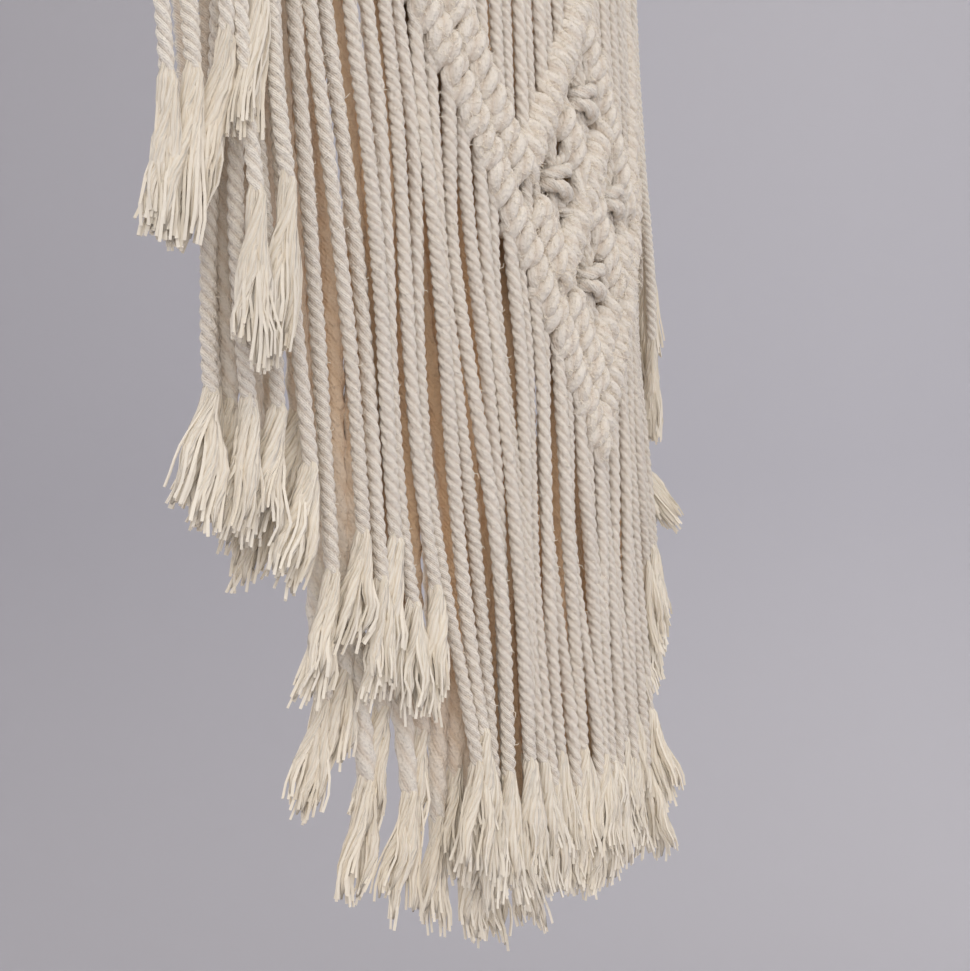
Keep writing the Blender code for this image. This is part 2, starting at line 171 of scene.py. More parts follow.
def looseLine(index, reach, layer, depths, start, drops):  # a cord below its knot, at given drops
    loose = ramp(drops, start, start + stray["loosen"])
    phase = 2 * math.pi * reach / stray["waveLength"]
    fall = 2 * math.pi * drops / stray["waveFall"]
    ownFall = 2 * math.pi * drops / (stray["ownFall"] * (1.25 + 0.5 * scatter(index, 11)))
    side = stray["waveSide"] * np.sin(phase + fall)
    side = side + stray["own"] * np.sin(ownFall + 3.1 * scatter(index, 1))
    front = stray["waveDepth"] * np.sin(0.6 * phase - fall)
    front = front + stray["own"] * np.sin(ownFall + 3.1 * scatter(index, 12))
    front = front + depths[1] - depths[0] + stray["spread"] * scatter(index, 13)
    share = leanShare(drops)
    return np.stack((reach + loose * side + sideLean(reach, layer) * share,
                     depths[0] + loose * front + stray["leanFront"] * share, drops), axis=1)


# Mesh making: a skein is one curve object that holds many cords. A bevel profile gives the cords
# their section, and tilt along the curve gives them their twist.
def makeProfile(name, radius, groove, points):
    data = bpy.data.curves.new(name, "CURVE")
    data.dimensions = "2D"
    outline = data.splines.new("POLY")
    outline.points.add(points - 1)
    outline.use_cyclic_u = True
    for number, point in enumerate(outline.points):
        angle = 2 * math.pi * number / points
        size = radius * (groove + (1 - groove) * abs(math.cos(1.5 * angle)) ** 1.3)
        point.co = (size * math.cos(angle), size * math.sin(angle), 0, 1)
    made = bpy.data.objects.new(name, data)
    bpy.context.scene.collection.objects.link(made)
    return made


def newSkein(name, profile):
    data = bpy.data.curves.new(name, "CURVE")
    data.dimensions = "3D"
    data.twist_mode = "MINIMUM"
    data.bevel_mode = "OBJECT"
    data.bevel_object = profile
    data.use_fill_caps = True
    made = bpy.data.objects.new(name, data)
    bpy.context.scene.collection.objects.link(made)
    return made


def evenLine(points, swell, spacing, passes=3):  # even steps along a bent route, its corners eased
    places = bend(points)
    length = np.concatenate(([0.0], np.cumsum(np.linalg.norm(np.diff(places, axis=0), axis=1))))
    at = np.linspace(0.0, length[-1], max(3, round(length[-1] / spacing) + 1))
    line = np.stack([np.interp(at, length, places[:, axis]) for axis in range(3)], axis=1)
    for _ in range(passes):
        line[1:-1] = (line[:-2] + 2 * line[1:-1] + line[2:]) / 4
    return line, np.interp(at, length, swell), at


def addSpline(skein, line, swell, tilt, closed=False):
    spline = skein.data.splines.new("POLY")
    spline.points.add(len(line) - 1)
    spline.points.foreach_set("co", np.column_stack((line, np.ones(len(line)))).ravel())
    spline.points.foreach_set("radius", np.asarray(swell, float))
    spline.points.foreach_set("tilt", np.asarray(tilt, float))
    spline.use_cyclic_u = closed


def layCord(skein, points, swell, spacing, index=0):
    line, radius, at = evenLine(points, swell, spacing)
    rate = 1.0 - 0.6 * np.clip((radius - 1.0) / 0.15, 0.0, 1.0)  # a cord that swells has lost twist
    drift = 0.15 * np.sin(at / (35 * mm) + 3.1 * scatter(index, 41)) + 0.08 * scatter(index, 42)
    rate = rate * (1.0 + drift)
    turns = np.concatenate(([0.0], np.cumsum((rate[1:] + rate[:-1]) / 2 * np.diff(at)))) / cord["lay"]
    drift = 0.04 * np.sin(at / (9 * mm) + 3.1 * scatter(index, 43)) + 0.05 * scatter(index, 44)
    radius = radius * (1.0 + drift)
    addSpline(skein, line, radius, 6.0 * scatter(index, 8) - 2 * math.pi * turns)
    return line, radius


def finishPiece(skein, node, material, smooth=True):
    bpy.ops.object.select_all(action="DESELECT")
    skein.select_set(True)
    bpy.context.view_layer.objects.active = skein
    bpy.ops.object.convert(target="MESH")
    bpy.ops.object.mode_set(mode="EDIT")
    bpy.ops.mesh.select_all(action="SELECT")
    bpy.ops.mesh.remove_doubles(threshold=1e-6)
    bpy.ops.mesh.normals_make_consistent(inside=False)
    bpy.ops.object.mode_set(mode="OBJECT")
    if smooth:
        bpy.ops.object.shade_smooth()
    else:
        bpy.ops.object.shade_flat()
    skein.data.materials.clear()
    skein.data.materials.append(material)
    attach(skein, "root")
    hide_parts(node)
    triangles = sum(len(face.vertices) - 2 for face in skein.data.polygons)
    print("piece", skein.name, triangles, "triangles")
    return triangles


# Cotton. Painted shade deepens the colour between the plies, and the colour drifts from cord to cord.
def makeCotton(name, look):
    material = bpy.data.materials.new(name)
    material.use_nodes = True
    nodes = material.node_tree.nodes
    links = material.node_tree.links
    shader = nodes["Principled BSDF"]
    place = nodes.new("ShaderNodeTexCoord")

    def noise(scale, detail, stretch=(1, 1, 1)):
        mapping = nodes.new("ShaderNodeMapping")
        mapping.inputs["Scale"].default_value = stretch
        links.new(place.outputs["Object"], mapping.inputs["Vector"])
        made = nodes.new("ShaderNodeTexNoise")
        made.inputs["Scale"].default_value = scale
        made.inputs["Detail"].default_value = detail
        links.new(mapping.outputs["Vector"], made.inputs["Vector"])
        return made.outputs["Fac"]

    def compute(operation, first, second):
        made = nodes.new("ShaderNodeMath")
        made.operation = operation
        for socket, value in zip(made.inputs, (first, second)):
            if isinstance(value, (int, float)):
                socket.default_value = value
            else:
                links.new(value, socket)
        return made.outputs[0]

    def blend(amount, first, second):
        made = nodes.new("ShaderNodeMix")
        made.data_type = "RGBA"
        if isinstance(amount, (int, float)):
            made.inputs["Factor"].default_value = amount
        else:
            links.new(amount, made.inputs["Factor"])
        for socket, value in ((made.inputs["A"], first), (made.inputs["B"], second)):
            if isinstance(value, tuple):
                socket.default_value = (*value, 1.0)
            else:
                links.new(value, socket)
        return made.outputs["Result"]

    def along(source, way, fade):  # fades from one value to another along a way
        distance, ramped = nodes.new("ShaderNodeVectorMath"), nodes.new("ShaderNodeMapRange")
        distance.operation = "DOT_PRODUCT"
        distance.inputs[1].default_value = way
        links.new(place.outputs[source], distance.inputs[0])
        links.new(distance.outputs["Value"], ramped.inputs["Value"])
        for socket, value in zip(("From Min", "From Max", "To Min", "To Max"), fade):
            ramped.inputs[socket].default_value = value
        return ramped.outputs["Result"]

    around = nodes.new("ShaderNodeSeparateXYZ")
    links.new(place.outputs["UV"], around.inputs[0])
    turns = around.outputs["Y"]
    # 0 on a ply and 0.5 between two
    groove = compute("PINGPONG", compute("MULTIPLY", turns, look["plies"]), 0.5)
    groove = compute("POWER", compute("MULTIPLY", groove, 2.0), look["grooveEdge"])

    mottle = noise(look["mottleScale"], 3.0, (1, 1, 0.12))
    fibre = noise(look["fibreScale"], 2.0, (1, 1, 0.35))
    colour = blend(mottle, look["light"], look["warm"])
    # Painted shade: the colour turns towards the deep colour in the grooves between the plies.
    colour = blend(compute("MULTIPLY", groove, look["paintedGrooveShade"]), colour, look["deep"])
    colour = blend(compute("MULTIPLY", fibre, look["fibreTint"]), colour, look["pale"])
    # Painted shade: the listed fades turn the colour deeper and browner, as on the back curtain's front
    # where the panel shades it.
    amount = 1.0
    for source, way, fade in look["paintedShade"]:
        amount = compute("MULTIPLY", amount, along(source, way, fade))
    if look["paintedShade"]:
        colour = blend(amount, colour, look["paintedShadeColour"])
    links.new(colour, shader.inputs["Base Color"])

    drift = compute("MULTIPLY", noise(look["driftScale"], 1.0), look["drift"])
    yarns = compute("ADD", compute("MULTIPLY", turns, 2 * math.pi * look["yarns"]), drift)
    yarns = compute("SINE", yarns, 0.0)
    relief = compute("ADD", compute("MULTIPLY", yarns, look["yarnRelief"]),
                     compute("MULTIPLY", fibre, look["fibreRelief"]))
    relief = compute("ADD", relief, compute("MULTIPLY", noise(look["lumpScale"], 2.0), look["lumps"]))
    bump = nodes.new("ShaderNodeBump")
    bump.inputs["Strength"].default_value = 1.0
    bump.inputs["Distance"].default_value = 1.0 * mm
    links.new(relief, bump.inputs["Height"])
    links.new(bump.outputs["Normal"], shader.inputs["Normal"])
    shader.inputs["Roughness"].default_value = 0.93
    shader.inputs["Specular IOR Level"].default_value = 0.2
    shader.inputs["Sheen Weight"].default_value = 0.15
    shader.inputs["Sheen Roughness"].default_value = 0.5
    return material


# The deep colour and its share are painted shade between the plies; the last colour is painted shade on
# the back curtain's front where the panel covers it.
cotton = {
    "light": (0.87, 0.81, 0.72), "warm": (0.82, 0.735, 0.62),
    "deep": (0.56, 0.40, 0.26), "pale": (0.92, 0.88, 0.81),
    "mottleScale": 60.0, "fibreScale": 900.0, "fibreTint": 0.35,
    "plies": 3.0, "grooveEdge": 2.5, "paintedGrooveShade": 0.45,
    "yarns": 15.0, "driftScale": 140.0, "drift": 9.0, "yarnRelief": 0.06, "fibreRelief": 0.4,
    "lumpScale": 480.0, "lumps": 1.4,
    "paintedShade": (), "paintedShadeColour": (0.76, 0.50, 0.28),
}
yarnCotton = {
    **cotton, "light": (0.93, 0.87, 0.76), "warm": (0.88, 0.78, 0.62), "pale": (0.96, 0.93, 0.86),
    "paintedGrooveShade": 0.0, "yarns": 3.0, "yarnRelief": 0.0, "fibreRelief": 0.05, "lumps": 0.0,
}
# The locks' deep colour and its share are painted shade between their yarns.
lockCotton = {
    **yarnCotton, "deep": (0.74, 0.60, 0.42), "plies": 9.0, "paintedGrooveShade": 0.6, "grooveEdge": 1.5,
    "yarns": 9.0, "yarnRelief": 0.12, "fibreRelief": 0.1,
}
sideTail = {"light": (0.86, 0.80, 0.69), "warm": (0.82, 0.72, 0.57)}
panelCotton = makeCotton("panel_cotton", cotton)
# The back curtain's front is painted a deeper, browner colour where the panel covers it, as painted
# shade: the way it fades, and then from and to, with the share at each.
backPaintedShade = (("Object", (1.6, 0.0, 1.0), (-0.58, -0.50, 0.0, 0.85)),
             ("Object", (1.0, 0.0, 0.0), (-0.18, -0.12, 0.25, 1.0)),
             ("Normal", (0.0, -1.0, 0.0), (-0.5, 0.1, 0.0, 1.0)))
backCotton = makeCotton("back_cotton", {**cotton, "paintedShade": backPaintedShade})
sideCotton = makeCotton("side_cotton",
                        {**cotton, "light": (0.90, 0.85, 0.76), "warm": (0.86, 0.78, 0.66)})
panelYarn = makeCotton("panel_yarn", yarnCotton)
# The back's yarns are a darker, warmer copy of the yarn colour: painted shade for the layer that hangs
# behind.
backYarn = makeCotton("back_yarn", {**yarnCotton, "light": (0.90, 0.82, 0.69)})
sideYarn = makeCotton("side_yarn", {**yarnCotton, **sideTail})
panelLock = makeCotton("panel_lock", lockCotton)
# Painted shade: the back's locks are a darker, warmer copy, as the back's yarns are.
backLock = makeCotton("back_lock", {**lockCotton, "light": (0.90, 0.82, 0.69)})
sideLock = makeCotton("side_lock", {**lockCotton, **sideTail})
print("materials made")

fineProfile = makeProfile("fine_section", cord["radius"], cord["groove"], 12)
plainProfile = makeProfile("plain_section", 3.0 * mm, cord["groove"], 9)
yarnProfile = makeProfile("yarn_section", 0.5 * mm, 1.0, 3)
lockProfile = makeProfile("lock_section", 1.7 * mm, 1.0, 7)
fuzzProfile = makeProfile("fuzz_section", 0.15 * mm, 1.0, 3)


# A hitch takes a cord one and a half times round the holding cord of its row.
slantHitch = {
    "across": 5.0 * mm, "front": 3.3 * mm, "back": 2.7 * mm, "pitch": 6.65 * mm, "swell": 1.6,
    "from": 30.0, "to": 505.0, "step": 12.5,  # degrees
}
headHitch = {
    "across": 4.6 * mm, "front": 4.3 * mm, "back": 3.6 * mm, "pitch": 3.82 * mm, "swell": 0.78,
    "from": -80.0, "to": 505.0, "step": 13.0,
}
stripHitch = {**headHitch, "across": 3.6 * mm, "front": 1.5 * mm, "back": 1.5 * mm, "swell": 0.7}


# Lean 1 runs down to the right, -1 down to the left, and 0 is level.
def hitchLine(reach, drop, depth, lean, look):
    turn = np.radians(np.arange(look["from"], look["to"], look["step"]))
    along = look["pitch"] * (turn / (2 * math.pi) - 0.75)
    rise = look["across"] * np.cos(turn)
    out = np.where(np.sin(turn) > 0, look["front"], look["back"]) * np.sin(turn)
    if lean:
        run, fall = lean * rows["slant"] / slantLength, 1.0 / slantLength
    else:
        run, fall = 1.0, 0.0
    side = run * along + (lean * fall if lean else 0.0) * rise
    down = fall * along - abs(run) * rise
    return np.stack((reach + side, depth + out, drop + down), axis=1)


def bandDrop(reach):
    return rows["bandPoint"] - abs(reach) / rows["slant"]


def diamondHalf():  # half width of the diamond, to the middle of its border rows
    return (rows["bandPoint"] - rowDrop / 2 - rows["diamondTop"]) / 2 * rows["slant"]


def hitchesOf(reach):  # drop and lean of each slanted hitch that a cord makes, from the top down
    side = 1 if reach > 0 else -1
    rise = abs(reach) / rows["slant"]
    found = []
    if abs(reach) < diamondHalf() - cord["pitch"] / 2:
        found.append((rows["diamondTop"] + rise, side))
    if abs(reach) < diamondHalf() / 2 - cord["pitch"] / 4:
        found += [(rows["diamondMiddle"] - rise, -side), (rows["diamondMiddle"] + rise, side)]
    if abs(reach) < rows["bandHalf"]:
        found += [(bandDrop(reach) - rowDrop / 2, -side), (bandDrop(reach) + rowDrop / 2, -side)]
    kept = []
    for drop, lean in sorted(found):
        below = drop > rows["heading"] + 8 * mm
        if below and (not kept or drop - kept[-1][0] > rows["height"]):
            kept.append((drop, lean))
    return kept


def cellMiddles():  # left, right, top and bottom
    halfWidth = rows["slant"] * (rows["bandPoint"] - rowDrop - rows["diamondTop"] - rowDrop / 2) / 2
    halfHeight = halfWidth / rows["slant"]
    cellWidth = (halfWidth - rowDrop / 2 * rows["slant"]) / 2
    cellHeight = cellWidth / rows["slant"]
    middle = rows["diamondMiddle"]
    return ((-halfWidth + cellWidth, middle), (halfWidth - cellWidth, middle),
            (0.0, middle - halfHeight + cellHeight), (0.0, middle + halfHeight - cellHeight))


# Layers of the hanging. Depths are at the heading and below it. The hem gives the panel's and the
# back's drop by the reach at which a cord ends, and every other cord ends one tier higher.
layers = {
    "panelCount": 51, "backCount": 52,
    "panelDepth": (0.6 * mm, 1.0 * mm), "backDepth": (-9.6 * mm, -12.2 * mm),
    "sideDepth": (10.4 * mm, 12.4 * mm),
    "hem": ((-0.200, 0.326, 0.236), (-0.1955, 0.323, 0.240), (-0.1925, 0.323, 0.326),
            (-0.175, 0.330, 0.330), (-0.170, 0.344, 0.342), (-0.158, 0.356, 0.354),
            (-0.155, 0.390, 0.366), (-0.151, 0.392, 0.430), (-0.138, 0.390, 0.444),
            (-0.122, 0.390, 0.458), (-0.104, 0.406, 0.468), (-0.100, 0.450, 0.472),
            (-0.085, 0.470, 0.480), (-0.060, 0.478, 0.485), (0.000, 0.478, 0.483),
            (0.050, 0.478, 0.481), (0.053, 0.412, 0.422), (0.160, 0.402, 0.410),
            (0.166, 0.352, 0.356), (0.200, 0.342, 0.346)),  # reach, panel, back
    "sideCords": ((0.2145, 0.248, 0.276), (0.2070, 0.246, 0.272), (0.1995, 0.234, 0.266),
                  (0.1920, 0.284, 0.300), (0.1850, 0.214, 0.250),
                  (0.1785, 0.278, 0.296)),  # reach, drop at the left, drop at the right
    "tierReach": 0.170, "tierFade": 0.015,
    "panelTier": 15.0 * mm, "panelStray": 12.0 * mm,
    "backTier": 26.0 * mm, "backStray": 8.0 * mm, "sideStray": 8.0 * mm,
}


def hemDrop(reach, layer):
    table = np.array(layers["hem"])
    ends, drops = table[:, 0], table[:, layerColumn[layer]]
    first = np.interp(reach, ends, drops)
    return float(np.interp(reach + sideLean(reach, layer) * leanShare(first), ends, drops))


def cordEnd(number, reach, layer, salt):
    tier = layers[layer + "Tier"] * ((number + salt) % 2)
    tier = tier * ramp(layers["tierReach"] - abs(reach), 0.0, layers["tierFade"])
    return hemDrop(reach, layer) - tier - layers[layer + "Stray"] * (1.0 + scatter(number, salt)) / 2


# A knot in a cell draws the cords near its middle together and ties two rings round them.
knot = {
    "reach": 11.0 * mm, "pull": 0.32, "squeeze": 0.85, "half": 8.0 * mm,
    "gap": 3.6 * mm, "halfWidth": 6.4 * mm, "halfDepth": 5.4 * mm, "tip": 1.8 * mm, "swell": 1.15,
}


def straightLine(start, end, side, steps=4):  # a stretch between two hitches, with a slight sway
    share = np.linspace(0.0, 1.0, steps)[:, None]
    line = np.asarray(start) * (1 - share) + np.asarray(end) * share
    line[:, 0] += side * np.sin(math.pi * share[:, 0])
    return line


def panelRoute(number):
    reach = (number - (layers["panelCount"] - 1) / 2) * cord["pitch"]
    top, loose = ((1 if number % 2 else -1) * depth for depth in layers["panelDepth"])
    parts = [hitchLine(reach, rows["heading"] / 2, 0.0, 0, headHitch)]
    swells = [headHitch["swell"]]
    last = rows["heading"] + 2 * mm
    for drop, lean in hitchesOf(reach):
        upper = drop - rows["clear"]
        if upper > last + 1 * mm:
            gathered = [cell for cell in cellMiddles()
                        if abs(reach - cell[0]) < knot["reach"] and last < cell[1] < upper]
            if gathered:
                middle, level = gathered[0]
                near = middle + (reach - middle) * knot["pull"]
                parts.append(np.array([(reach, top, last), (near, top * 0.5, level - knot["half"]),
                                       (near, 0.0, level), (near, top * 0.5, level + knot["half"]),
                                       (reach, top, upper)]))
                swells.append((1.0, knot["squeeze"], knot["squeeze"], knot["squeeze"], 1.0))
            else:
                sway = min(1.5 * mm, 0.02 * (upper - last)) * scatter(number, 7)
                parts.append(straightLine((reach, top, last), (reach, top, upper), sway))
                swells.append(1.0)
        side, fall, out = (size * scatter(number * 9 + len(parts), salt)
                           for size, salt in ((0.5 * mm, 51), (0.6 * mm, 52), (0.4 * mm, 53)))
        parts.append(hitchLine(reach + side, drop + fall, out, lean, slantHitch))
        swells.append(slantHitch["swell"])
        last = drop + rows["clear"]
    return reach, (top, loose), parts, swells, last, cordEnd(number, reach, "panel", 2)


bulkFade = (0.37, 0.47)  # drops between which a bulky cord thins to its own size


def addTwistedCord(skein, index, reach, layer, depths, parts, swells, start, end, spacing, bulk=0.0):
    opening = end - cord["tails"][layer]
    drops = np.append(np.arange(start, opening - 8 * mm, 12 * mm),
                      (opening - 7 * mm, opening, opening + 3 * mm))
    parts = parts + [looseLine(index, reach, layer, depths, start - rows["clear"], drops)]
    sizes = [np.broadcast_to(swell, len(part)) for swell, part in zip(swells, parts)]
    thinned = np.append(np.ones(len(drops) - 3), (1.0, 0.72, 0.35))
    sizes.append(thinned + bulk * (1 - ramp(drops, *bulkFade)))
    return layCord(skein, np.concatenate(parts), np.concatenate(sizes), spacing, index)


# Short fibres stand off the cords, most of them where a cord is knotted.
fuzz = {"knotted": 2.4, "loose": 0.12, "long": 1.5 * mm, "sink": 0.8, "swell": 1.1}


def addFuzz(skein, line, radius, index):
    dice = np.random.default_rng(900 + index)
    along = np.gradient(line, axis=0)
    along /= np.linalg.norm(along, axis=1)[:, None]
    chance = np.where(radius > fuzz["swell"], fuzz["knotted"], fuzz["loose"])
    picked = np.repeat(np.arange(len(line)), dice.poisson(chance))
    for at in picked[(picked > 2) & (picked < len(line) - 8)]:
        way = np.array((dice.uniform(-1.1, 0.5), -0.7, dice.uniform(-0.7, 0.7)))
        way -= along[at] * way.dot(along[at])
        way /= np.linalg.norm(way)
        drift = along[at] * dice.uniform(-1, 1) + np.cross(along[at], way) * dice.uniform(-1, 1)
        size = fuzz["long"] * dice.uniform(0.5, 1.3)
        root = line[at] + way * cord["radius"] * radius[at] * fuzz["sink"]
        points = np.stack((root, root + (0.8 * way + 0.3 * drift) * size,
                           root + (1.0 * way + 1.2 * drift) * size))
        addSpline(skein, points, (1.2, 1.0, 0.5), np.zeros(3))


# A tail is the cord's own yarns, let out of their twist. They gather in a few soft locks.
tail = {
    "root": 8.0 * mm, "ply": 1.5 * mm, "yarn": 1.0 * mm, "curl": 1.0 * mm, "points": 9,
    "stray": 11.0 * mm, "turn": 2.4, "aside": 3.6 * mm, "locks": 7, "own": 3.0 * mm,
    "body": ((0.0, 0.4), (0.12, 0.95), (0.3, 1.1),
             (0.6, 1.35), (0.85, 1.0), (1.0, 0.2)),  # share, thickness of a lock
}


# How a tail spreads in each layer: yarns to a lock, and how far it opens sideways and in depth.
tailSpread = {
    "panel": (5, 9.2 * mm, 6.0 * mm),
    "back": (4, 9.6 * mm, 5.0 * mm),
    "side": (9, 8.6 * mm, 6.0 * mm),
}


def addTail(skeins, index, reach, layer, depths, start, end):
    locks, loose = skeins
    yarns, across, deep = tailSpread[layer]
    share = np.linspace(0.0, 1.0, tail["points"])
    opened = ramp(share, 0.0, 0.95 + 0.1 * scatter(index, 36))
    side, front = tailFlare(reach, layer, share)
    side = side + tail["aside"] * scatter(index, 21) * share ** 1.5
    gather = 0.85 + 0.35 * scatter(index, 29)
    top = end - cord["tails"][layer] - tail["root"]
    out = ramp(share, -0.12, 0.14)  # the yarns start inside the cord
    for number in range(tail["locks"]):
        lock = index * 7 + number
        turn = 2 * math.pi * (number % 3) / 3
        turn = turn + tail["turn"] * share * (2 - share) + scatter(index, 8) * 6
        way = 2 * math.pi * number / tail["locks"] + scatter(index, 32) * 3
        parted = opened * gather * (0.55 + 0.3 * scatter(lock, 33))
        near = (out - 0.5 * opened) * tail["ply"]
        wave = 2 * math.pi * (share * (1.5 + 0.5 * scatter(lock, 26)) + 0.5 * scatter(lock, 27))
        x = near * np.cos(turn) + across * parted * math.cos(way) + side
        y = near * np.sin(turn) + deep * parted * math.sin(way) + front
        x = x + tail["curl"] * opened * np.sin(wave)
        y = y + tail["curl"] * opened * np.cos(wave)
        lockEnd = end - tail["stray"] * (1.0 + scatter(lock, 31)) / 2

        def lay(bottom, aside, forward):
            drops = top + (bottom - top) * share
            middle = looseLine(index, reach, layer, depths, start - rows["clear"], drops)
            return bend(np.stack((middle[:, 0] + x + aside, middle[:, 1] + y + forward, drops), axis=1))

        body = np.interp(share, *np.array(tail["body"]).T) * (1.0 + 0.2 * scatter(lock, 37))
        addSpline(locks, lay(lockEnd - 2 * mm, 0.0, 0.0), body, 4 * share + scatter(lock, 38))
        for yarn in range(yarns):
            seed = lock * 13 + yarn
            angle = 2 * math.pi * (yarn + 0.4 * scatter(seed, 23)) / yarns
            far = tail["own"] * (0.75 + 0.35 * scatter(seed, 24))
            spread = out * tail["yarn"] + opened * (far - tail["yarn"])
            swing = tail["curl"] * opened * np.sin(wave + 2.0 * scatter(seed, 34)) * scatter(seed, 35)
            line = lay(lockEnd - tail["stray"] * (0.2 + 0.5 * scatter(seed, 22)) / 2,
                       spread * math.cos(angle) + swing, 0.8 * spread * math.sin(angle))
            size = 1.0 + 0.15 * scatter(seed, 28) + 0.1 * share
            addSpline(loose, line, size, np.zeros(len(line)))


def finishTails(tails, node, materials):
    return sum(finishPiece(skein, node, material, smooth)
               for skein, material, smooth in zip(tails, materials, (True, False)))


# The panel's pieces: which of its cords each holds, and the distance between the cords' rings.
panelGroups = {
    "panel_cords_left": (range(0, 18), cord["ring"]),
    "panel_cords_middle": (range(18, 33), cord["ring"]),
    "panel_cords_right": (range(33, 51), cord["farRing"]),
}


def buildPanel():
    total = 0
    tails = newSkein("panel_locks", lockProfile), newSkein("panel_tails", yarnProfile)
    fibres = newSkein("panel_fuzz", fuzzProfile)
    for name, (numbers, ring) in panelGroups.items():
        skein = newSkein(name, fineProfile)
        for number in numbers:
            reach, depths, parts, swells, last, end = panelRoute(number)
            line, radius = addTwistedCord(skein, number, reach, "panel", depths, parts, swells,
                                          last, end, ring)
            addFuzz(fibres, line, radius, number)
            addTail(tails, number, reach, "panel", depths, last, end)
        total += finishPiece(skein, "knotted_panel", panelCotton)
    total += finishPiece(fibres, "knotted_panel", panelYarn, False)
    return total + finishTails(tails, "knotted_panel", (panelLock, panelYarn))


def buildCellKnots():
    skein = newSkein("cell_knots", fineProfile)
    for middle, level in cellMiddles():
        for sign in (-1, 1):
            turn = np.linspace(0, 2 * math.pi, 22, endpoint=False)
            points = np.stack((middle + knot["halfWidth"] * np.cos(turn),
                               knot["halfDepth"] * np.sin(turn),
                               level + sign * (knot["gap"] + knot["tip"] * np.cos(turn))), axis=1)
            addSpline(skein, bend(points), np.full(len(turn), knot["swell"]), 2 * turn, closed=True)
    return finishPiece(skein, "knotted_panel", panelCotton)


# Each row's cords are knotted round a holding cord of its own, which is thinner than they are.
holding = {
    "half": 221 * mm, "points": 60, "size": 0.8, "ring": 3 * mm,
    "slantPoints": 40, "slantSize": 0.7,
}


def addHoldingCord(skein, reach, depth, drop, size):
    line = np.stack((reach, np.full(len(reach), depth), np.broadcast_to(drop, len(reach))), axis=1)
    layCord(skein, line, np.full(len(reach), size), holding["ring"])


def buildHoldingCords():
    skein = newSkein("holding_cords", plainProfile)
    reach = np.linspace(-holding["half"], holding["half"], holding["points"])
    for depth in (0.0, layers["backDepth"][0]):
        addHoldingCord(skein, reach, depth, rows["heading"] / 2, holding["size"])
    share = np.linspace(0.0, 1.0, holding["slantPoints"])
    for sign in (-1, 1):
        side = sign * rows["bandHalf"] * share
        for offset in (-rowDrop / 2, rowDrop / 2):
            addHoldingCord(skein, side, 0.0, bandDrop(side) + offset, holding["slantSize"])
        side = sign * diamondHalf() * share
        drop = rows["diamondTop"] + abs(side) / rows["slant"]
        addHoldingCord(skein, side, 0.0, drop, holding["slantSize"])
        side = sign * diamondHalf() / 2 * (2 * share - 1)
        drop = rows["diamondMiddle"] + side / rows["slant"] * sign
        addHoldingCord(skein, side, 0.0, drop, holding["slantSize"])
    return finishPiece(skein, "knotted_panel", panelCotton)


def fringeTop(reach, depth):  # a fringe's cord where it is hitched behind or before the heading
    drop = rows["heading"] * rows["stripLevel"]
    return [hitchLine(reach, drop, depth, 0, stripHitch)], [stripHitch["swell"]]


# The back's pieces and how bulky its cords are, save near its edges, where they are seen alone.
backGroups = {"back_cords_left": range(0, 26), "back_cords_right": range(26, 52)}
backBulk = {"swell": 0.4, "fade": (0.172, 0.185)}


# Each layer's cords are numbered from a hundred of their own, so that they stray in their own way.
def buildBack():
    total = 0
    tails = newSkein("back_locks", lockProfile), newSkein("back_tails", yarnProfile)
    depths = layers["backDepth"]
    for name, numbers in backGroups.items():
        skein = newSkein(name, plainProfile)
        for number in numbers:
            reach = (number - (layers["backCount"] - 1) / 2) * cord["pitch"]
            end = cordEnd(number, reach, "back", 4)
            bulk = backBulk["swell"] * (1 - ramp(abs(reach), *backBulk["fade"]))
            addTwistedCord(skein, number + 100, reach, "back", depths, *fringeTop(reach, depths[0]),
                           rows["loose"], end, cord["backRing"], bulk)
            addTail(tails, number + 100, reach, "back", depths, rows["loose"], end)
        total += finishPiece(skein, "back_fringe", backCotton)
    return total + finishTails(tails, "back_fringe", (backLock, backYarn))


def buildSide(sign, word):
    node = "side_fringe_" + word
    skein = newSkein("side_cords_" + word, fineProfile)
    tails = newSkein("side_locks_" + word, lockProfile), newSkein("side_tails_" + word, yarnProfile)
    depths = layers["sideDepth"]
    for number, (place, *drops) in enumerate(layers["sideCords"]):
        reach = sign * place
        end = drops[sign > 0] - layers["sideStray"] * (1.0 + scatter(number, 4 + sign)) / 2
        addTwistedCord(skein, number + 200, reach, "side", depths, *fringeTop(reach, depths[0]),
                       rows["loose"], end, cord["ring"])
        addTail(tails, number + 200, reach, "side", depths, rows["loose"], end)
    total = finishPiece(skein, node, sideCotton)
    return total + finishTails(tails, node, (sideLock, sideYarn))


total = buildPanel()
print("panel cords laid")
total += buildCellKnots()
total += buildHoldingCords()
print("knots tied")
total += buildBack()
total += buildSide(-1, "left")
total += buildSide(1, "right")
for profile in (fineProfile, plainProfile, yarnProfile, lockProfile, fuzzProfile):
    bpy.data.objects.remove(profile)
print("fringes laid,", total, "triangles in all")


# A plain round room, its floor running up into its wall. Its paint darkens towards the camera's left,
# as painted shade on the backdrop.
room = {"radius": 3.2, "floor": -1.3, "height": 4.2, "corner": 1.0,
        "colour": (0.66, 0.662, 0.715), "shade": (0.52, 0.518, 0.562),
        "across": (0.5, -0.866, 0.0), "fade": (-1.3, 0.9, 0.0, 1.0)}


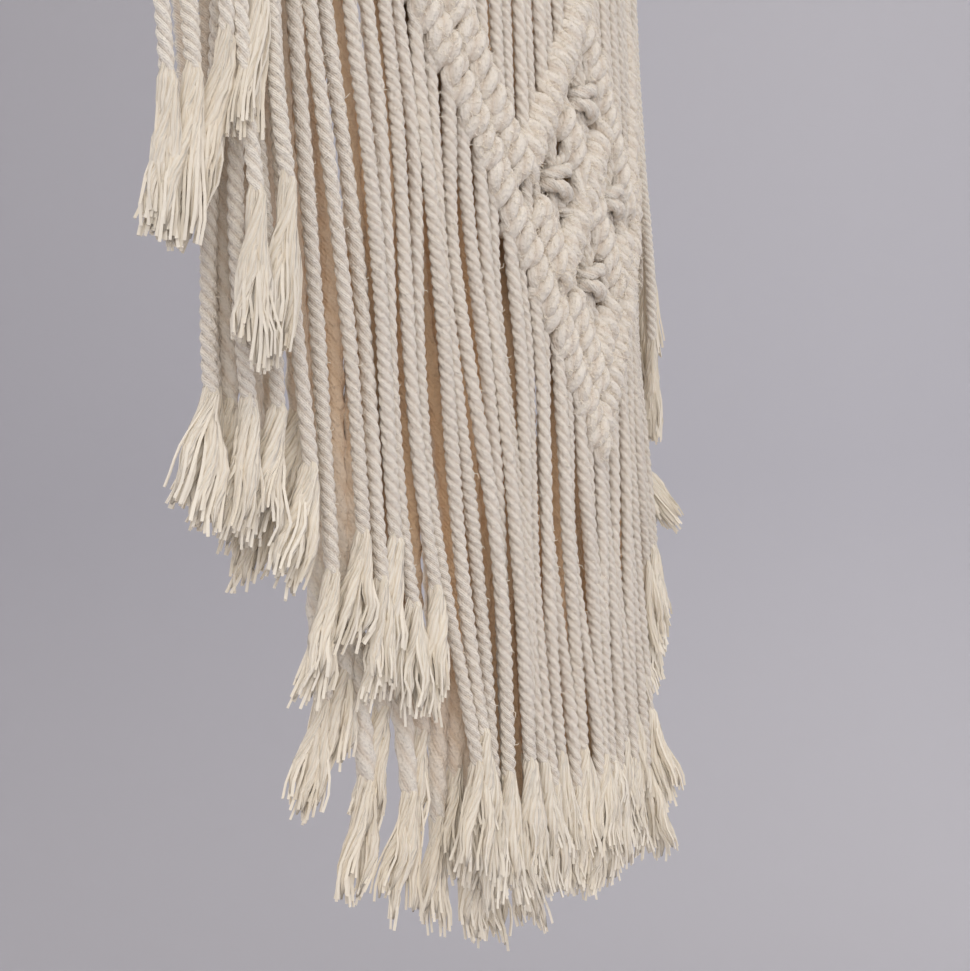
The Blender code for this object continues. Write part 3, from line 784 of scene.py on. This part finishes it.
def buildRoom(look):
    bpy.ops.mesh.primitive_cylinder_add(vertices=96, radius=look["radius"], depth=look["height"],
                                        location=(0, 0, look["floor"] + look["height"] / 2))
    made = bpy.context.object
    made.name = "room"
    bpy.ops.object.transform_apply(location=True, rotation=False, scale=False)
    bpy.ops.object.mode_set(mode="EDIT")
    bpy.ops.mesh.select_all(action="DESELECT")
    bpy.ops.object.mode_set(mode="OBJECT")
    for face in made.data.polygons:
        face.select = face.normal.z > 0.9
    bpy.ops.object.mode_set(mode="EDIT")
    bpy.ops.mesh.delete(type="FACE")
    bpy.ops.mesh.select_all(action="DESELECT")
    bpy.ops.object.mode_set(mode="OBJECT")
    for edge in made.data.edges:
        edge.select = all(made.data.vertices[v].co.z < look["floor"] + 0.01 for v in edge.vertices)
    bpy.ops.object.mode_set(mode="EDIT")
    bpy.ops.mesh.bevel(offset=look["corner"], segments=12, affect="EDGES")
    bpy.ops.mesh.select_all(action="SELECT")
    bpy.ops.mesh.flip_normals()
    bpy.ops.object.mode_set(mode="OBJECT")
    bpy.ops.object.shade_smooth()
    material = bpy.data.materials.new("room_paint")
    material.use_nodes = True
    shader = material.node_tree.nodes["Principled BSDF"]
    nodes, links = material.node_tree.nodes, material.node_tree.links
    place = nodes.new("ShaderNodeTexCoord")
    along = nodes.new("ShaderNodeVectorMath")
    fade = nodes.new("ShaderNodeMapRange")
    along.operation = "DOT_PRODUCT"
    along.inputs[1].default_value = look["across"]
    links.new(place.outputs["Object"], along.inputs[0])
    links.new(along.outputs["Value"], fade.inputs["Value"])
    for socket, value in zip(("From Min", "From Max", "To Min", "To Max"), look["fade"]):
        fade.inputs[socket].default_value = value
    # Painted shade: the paint turns from its colour to its darker shade towards the camera's left.
    paint = nodes.new("ShaderNodeMix")
    paint.data_type = "RGBA"
    paint.inputs["A"].default_value = (*look["shade"], 1.0)
    paint.inputs["B"].default_value = (*look["colour"], 1.0)
    links.new(fade.outputs["Result"], paint.inputs["Factor"])
    links.new(paint.outputs["Result"], shader.inputs["Base Color"])
    shader.inputs["Roughness"].default_value = 1.0
    shader.inputs["Specular IOR Level"].default_value = 0.0
    made.data.materials.append(material)


buildRoom(room)

lamps = (
    {"name": "key", "place": (0.9, -2.1, 0.7), "size": 2.2, "power": 15.0},
    {"name": "fill", "place": (-1.9, -1.2, 0.6), "size": 2.0, "power": 24.0},
    {"name": "back", "place": (-0.6, 2.0, 0.9), "size": 2.0, "power": 14.0},
)
aim = (0.0, 0.0, -0.25)


def addLamp(look):
    bpy.ops.object.light_add(type="AREA", location=look["place"])
    made = bpy.context.object
    made.name = look["name"]
    made.data.size = look["size"]
    made.data.energy = look["power"]
    way = made.location.copy()
    for axis in range(3):
        way[axis] -= aim[axis]
    made.rotation_euler = way.to_track_quat("Z", "Y").to_euler()


for lamp in lamps:
    addLamp(lamp)

sky = {"colour": (1.0, 0.93, 0.84), "strength": 0.95}
world = bpy.data.worlds.new("studio")
world.use_nodes = True
world.node_tree.nodes["Background"].inputs["Color"].default_value = (*sky["colour"], 1.0)
world.node_tree.nodes["Background"].inputs["Strength"].default_value = sky["strength"]
bpy.context.scene.world = world
bpy.context.scene.view_settings.view_transform = "Standard"
print("room and lamps placed")
